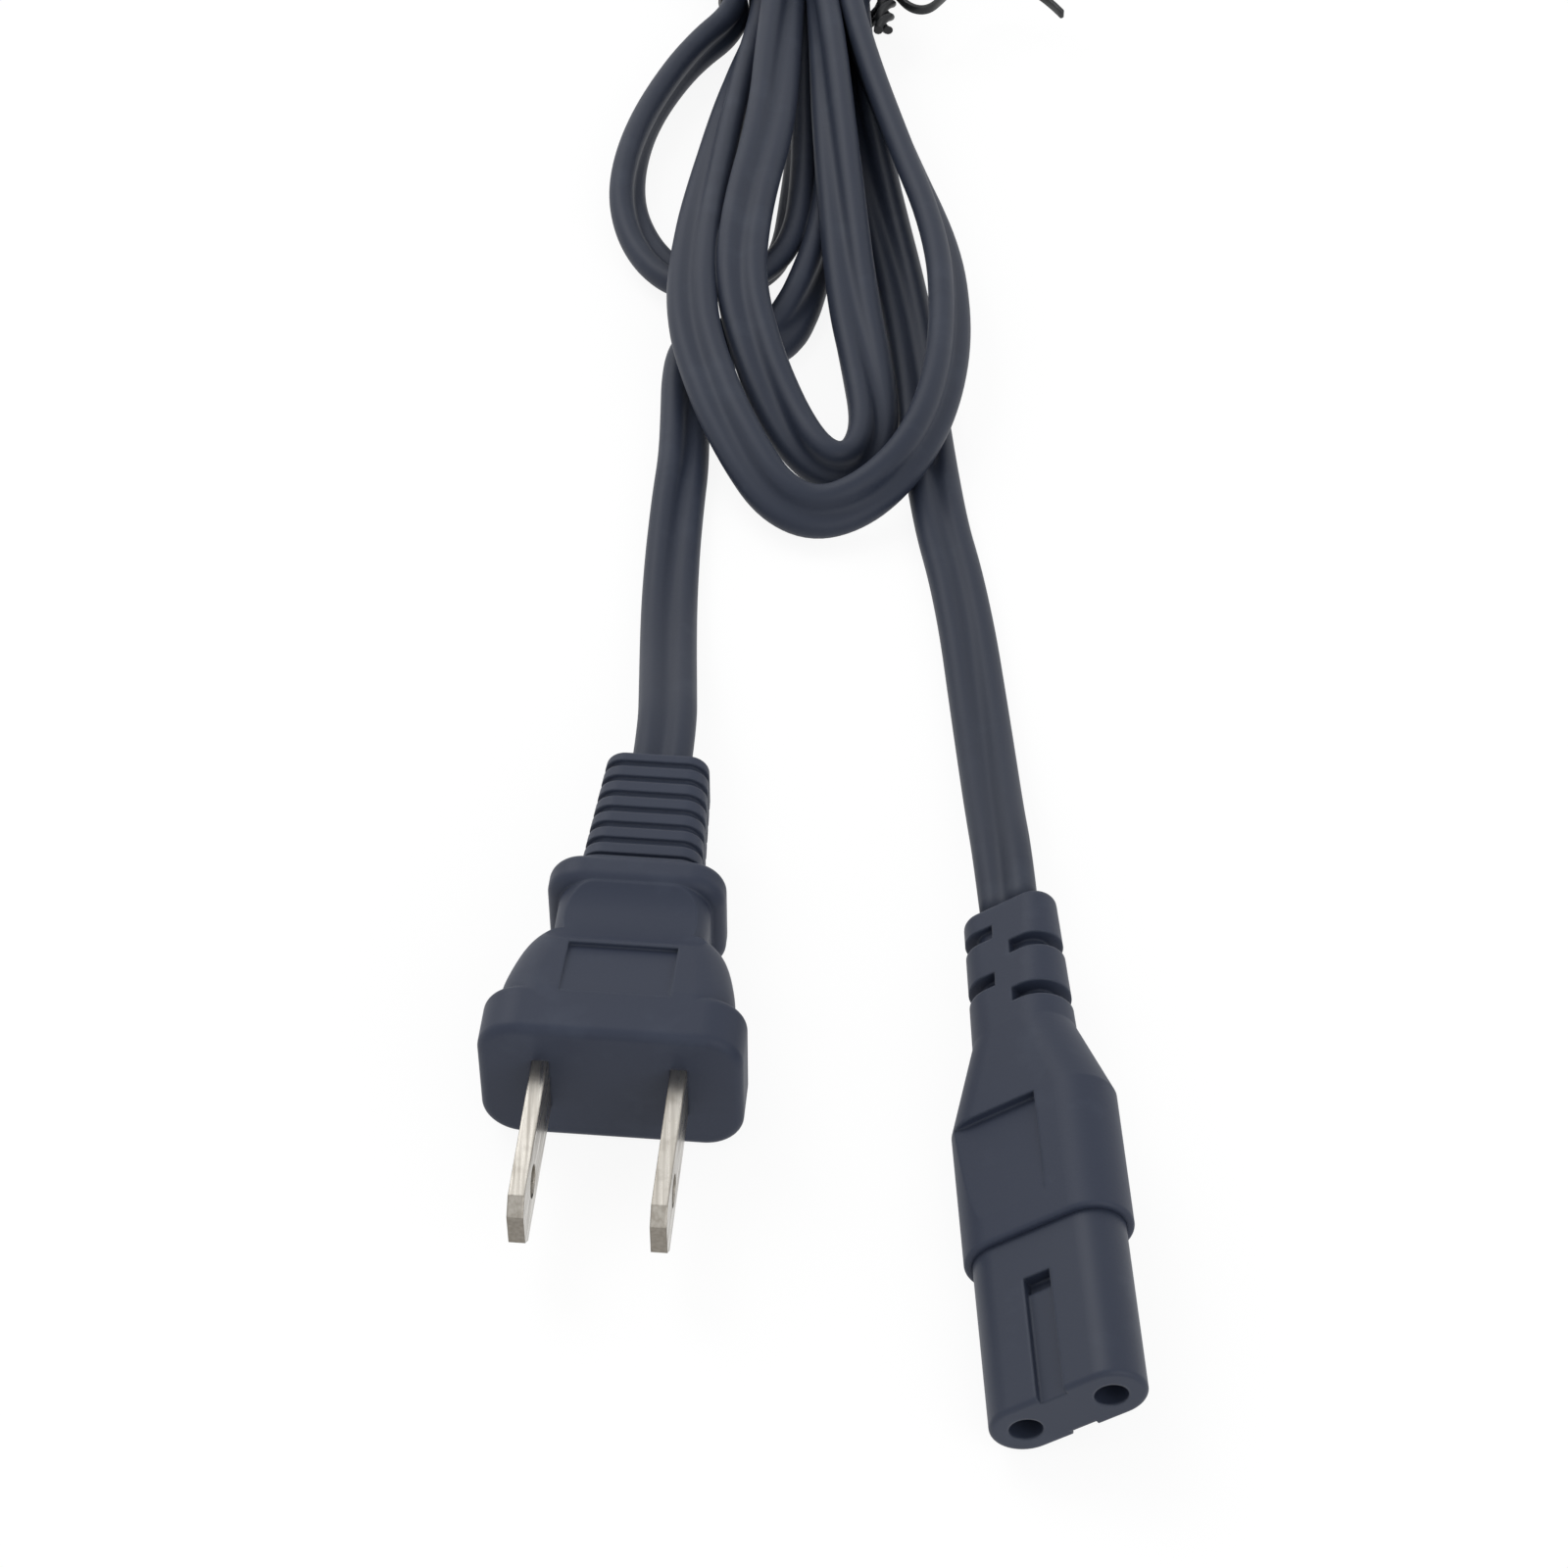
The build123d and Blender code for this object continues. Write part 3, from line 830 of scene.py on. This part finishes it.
    @staticmethod
    def lead(places: Sequence[Point], level: int, roll: float) -> list[Station]:
        """Gives a lead its roll, which grows along it.

        Args:
            places: Its control points.
            level: Number of the last one that is still level.
            roll: Roll at the last one, in degrees.

        Returns:
            Its stations.
        """
        rising = len(places) - 1 - level
        shares = [max(0.0, number - level) / rising for number in range(len(places))]
        return [Station(place, roll * share) for place, share in zip(places, shares)]

    def rested(self, station: Station) -> Station:
        """Lifts a station until the cord's lower edge clears the floor, and returns it."""
        half = self.thickness / 2
        lift = half + (self.width / 2 - half) * abs(math.sin(math.radians(station.roll)))
        x, y, z = station.place
        return Station((x, y, max(z, lift)), station.roll)

    def section(self) -> list[Pair]:
        """Draws the cord's outline: two round cores with a groove between them on both faces."""
        radius = self.thickness / 2
        offset = self.width / 2 - radius
        meet = math.asin((radius - self.groove_depth) / radius)
        outline = []
        for side in (1, -1):
            for angle in np.linspace(math.pi - meet, meet - math.pi, self.lobe_points):
                outline.append((side * (offset + radius * math.cos(angle)), side * radius * math.sin(angle)))
        return outline

    def build(self) -> tuple[bpy.types.Object, list[Vector]]:
        """Sweeps the outline along the cord's line.

        Returns:
            The cord's object and the points that it follows.
        """
        stations = self.stations()
        line = smooth_line("cord_line", [station.place for station in stations], self.resolution)
        turns = [(math.radians(station.roll), 0.0, 0.0) for station in stations]
        rolls = [turn.x for turn in smooth_line("cord_roll", turns, self.resolution)]
        path = np.array(line)
        run = np.concatenate([[0.0], np.cumsum(np.linalg.norm(np.diff(path, axis=0), axis=1))])
        outline = self.section()
        mesh = bpy.data.meshes.new("flat_cord")
        mesh.from_pydata(self._rings(line, rolls, outline), [], self._skin(len(line), len(outline)))
        mesh.validate()
        cord = bpy.data.objects.new("flat_cord", mesh)
        bpy.context.scene.collection.objects.link(cord)
        mesh.polygons.foreach_set("use_smooth", [True] * len(mesh.polygons))
        self._lay_uv(mesh, run, len(outline))
        LOG.info("flat_cord: %.3f m over %d stations", run[-1], len(stations))
        return cord, line

    @staticmethod
    def dress(cord: bpy.types.Object, finish: bpy.types.Material) -> None:
        """Paints the cord, hangs it on the root body and hides the CAD nodes that it replaces.

        Args:
            cord: The cord's object.
            finish: Its material.
        """
        cord.data.materials.append(finish)
        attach(cord, ROOT_BODY)
        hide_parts("plug_lead", "cord_hank", "connector_lead")

    @staticmethod
    def _rings(line: list[Vector], rolls: list[float], outline: list[Pair]) -> list[Vector]:
        """Sets the outline up square to the line at each of its points.

        Args:
            line: Points along the cord.
            rolls: Roll of the broad side at each of them, in radians.
            outline: The cord's section, across its broad and its thin side.

        Returns:
            Vertices, ring after ring.
        """
        vertices = []
        for place, heading, roll in zip(line, np.gradient(np.array(line), axis=0), rolls):
            ahead = Vector(heading).normalized()
            level = Vector((0, 0, 1)).cross(ahead).normalized()
            upright = ahead.cross(level)
            broad = level * math.cos(roll) + upright * math.sin(roll)
            thin = upright * math.cos(roll) - level * math.sin(roll)
            vertices += [place + broad * a + thin * b for a, b in outline]
        return vertices

    @staticmethod
    def _skin(rings: int, count: int) -> list[tuple[int, ...]]:
        """Joins rings of vertices into a closed tube.

        Args:
            rings: Number of rings.
            count: Vertices in each.

        Returns:
            Faces, by vertex number.
        """
        faces = [tuple(range(count))[::-1]]
        for ring in range(rings - 1):
            base, above = ring * count, (ring + 1) * count
            for here in range(count):
                there = (here + 1) % count
                faces.append((base + here, base + there, above + there, above + here))
        faces.append(tuple(range((rings - 1) * count, rings * count)))
        return faces

    @staticmethod
    def _lay_uv(mesh: bpy.types.Mesh, run: np.ndarray, count: int) -> None:
        """Gives the cord a UV map: a share of the way round it, and metres along it."""
        layer = mesh.uv_layers.new(name="along")
        for loop in mesh.loops:
            ring, here = divmod(loop.vertex_index, count)
            layer.data[loop.index].uv = (here / count, run[ring])


@dataclass(frozen=True)
class Lamp:
    """One square lamp."""

    name: str
    place: Point
    power: float
    size: float

    def hang(self, aim: Point) -> None:
        """Hangs the lamp in its place and turns it to face a point."""
        data = bpy.data.lights.new(self.name, "AREA")
        data.energy = self.power
        data.size = self.size
        holder = bpy.data.objects.new(self.name, data)
        holder.location = self.place
        holder.rotation_euler = (Vector(aim) - Vector(self.place)).to_track_quat("-Z", "Y").to_euler()
        bpy.context.scene.collection.objects.link(holder)


@dataclass
class Studio:
    """Pale floor, soft lamps and the camera."""

    eye: Point = (-0.00146, -0.21768, 0.262)
    tilt: float = 45.0
    focal_pixels: float = 3700.0
    frame_pixels: float = 1600.0
    sensor: float = 36.0
    clip: float = 0.01
    floor_size: float = 8.0
    floor_drop: float = 0.0001
    floor_paint: Colour = (0.86, 0.86, 0.86, 1)
    floor_glow: float = 1.07
    glow_share: float = 0.84
    surround: Pair = (0.5, 1.0)
    aim: Point = (0.0, 0.06, 0.0)
    lamps: tuple[Lamp, ...] = (
        Lamp("key_lamp", (-0.45, 0.55, 0.75), power=3.0, size=0.6),
        Lamp("fill_lamp", (0.4, -0.6, 0.45), power=2.0, size=0.7),
    )

    def camera(self) -> None:
        """Places the camera at the photograph's height and slant."""
        lens = bpy.data.cameras.new("studio_camera")
        lens.sensor_width = self.sensor
        lens.lens = self.focal_pixels / self.frame_pixels * self.sensor
        lens.clip_start = self.clip
        holder = bpy.data.objects.new("studio_camera", lens)
        holder.location = self.eye
        holder.rotation_euler = (math.radians(90.0 - self.tilt), 0.0, 0.0)
        bpy.context.scene.collection.objects.link(holder)
        bpy.context.scene.camera = holder

    def floor(self) -> None:
        """Lays a white floor that still takes the cord's soft shadow."""
        bpy.ops.object.select_all(action="DESELECT")
        bpy.ops.mesh.primitive_plane_add(size=self.floor_size, location=(0.0, 0.0, -self.floor_drop))
        floor = bpy.context.object
        floor.name = "studio_floor"
        made, sketch = blank_material("studio_floor")
        paint = sketch.add("BsdfDiffuse", {"Color": self.floor_paint})
        glow = sketch.add("Emission", {"Color": WHITE, "Strength": self.floor_glow})
        share = sketch.part(self._seen(sketch), self.glow_share)
        sketch.show(sketch.add("MixShader", {0: share, 1: paint.outputs[0], 2: glow.outputs[0]}))
        floor.data.materials.append(made)

    @staticmethod
    def _seen(sketch: Sketch) -> bpy.types.NodeSocket:
        """Gives 1 for rays from the camera, from a mirror or through glass, and 0 for the rest."""
        path = sketch.add("LightPath")
        seen = sketch.math("MAXIMUM", path.outputs["Is Camera Ray"], path.outputs["Is Glossy Ray"])
        return sketch.math("MAXIMUM", seen, path.outputs["Is Transmission Ray"])

    def light(self) -> None:
        """Hangs the lamps and sets the white surround."""
        bpy.context.scene.view_settings.view_transform = "Standard"
        world = bpy.data.worlds.new("studio_surround")
        bpy.context.scene.world = world
        world.use_nodes = True
        world.node_tree.nodes.clear()
        sketch = Sketch(world.node_tree)
        strength = sketch.span(self._seen(sketch), *self.surround)
        sketch.show(sketch.add("Background", {"Color": WHITE, "Strength": strength}), "OutputWorld")
        for lamp in self.lamps:
            lamp.hang(self.aim)


class Finishes:
    """One material of each finish, made when it is first asked for."""

    def __init__(self) -> None:
        """Builds the shared effects."""
        self.effects = Effects()
        self.made: dict[str, bpy.types.Material] = {}

    def of(self, finish: PvcFinish | MetalFinish) -> bpy.types.Material:
        """Gives a finish's material.

        Args:
            finish: The finish to look up.

        Returns:
            Its material, the same one each time.
        """
        if finish.name not in self.made:
            self.made[finish.name] = finish.material(self.effects)
        return self.made[finish.name]

    def paint(self, names: Sequence[str], finish: PvcFinish | MetalFinish) -> None:
        """Gives the named CAD nodes a finish.

        Args:
            names: Node names.
            finish: The finish for all of them.
        """
        for name in names:
            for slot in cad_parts[name].material_slots:
                slot.material = self.of(finish)
            LOG.info("%s: %s", name, finish.name)


@dataclass(frozen=True)
class Plug:
    """The moulded plug: its body, two blades, the bridge that spaces them and their conductors."""

    body: str = "plug_body"
    bridge: str = "blade_bridge"
    blades: tuple[str, str] = ("blade_left", "blade_right")
    conductors: tuple[str, str] = ("plug_conductor_left", "plug_conductor_right")

    def dress(self, finishes: Finishes) -> None:
        """Paints each node of the plug."""
        finishes.paint([self.body], SLATE_MOULDING)
        finishes.paint([self.bridge], BRIDGE_PLASTIC)
        finishes.paint(self.blades, NICKEL_PLATE)
        finishes.paint(self.conductors, BARE_COPPER)


@dataclass(frozen=True)
class Connector:
    """The figure-of-eight connector: its body, the hard nose, two socket sleeves and their conductors."""

    body: str = "connector_body"
    nose: str = "connector_insert"
    contacts: tuple[str, str] = ("contact_left", "contact_right")
    conductors: tuple[str, str] = ("connector_conductor_left", "connector_conductor_right")

    def dress(self, finishes: Finishes) -> None:
        """Paints each node of the connector."""
        finishes.paint([self.body], SLATE_MOULDING)
        finishes.paint([self.nose], SLATE_INSERT)
        finishes.paint(self.contacts, CONTACT_BRASS)
        finishes.paint(self.conductors, BARE_COPPER)

    def pieces(self) -> list[bpy.types.Object]:
        """Gives the nodes that hang on the end of the cord."""
        return [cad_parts[name] for name in (self.body, self.nose, *self.contacts)]


def main() -> None:
    """Builds and dresses the cord, its plug and its connector, then lights them."""
    logging.basicConfig(level=logging.INFO, format="%(message)s")
    finishes = Finishes()
    connector = Connector()
    Plug().dress(finishes)
    connector.dress(finishes)
    tie = Tie()
    wrap = tie.build()
    tie.dress(wrap, finishes.of(TIE_PLASTIC))
    flex = FlatCord(tie)
    cord, line = flex.build()
    flex.dress(cord, finishes.of(SLATE_CORD))
    studio = Studio()
    studio.camera()
    studio.floor()
    studio.light()


if __name__ == "__main__":
    main()
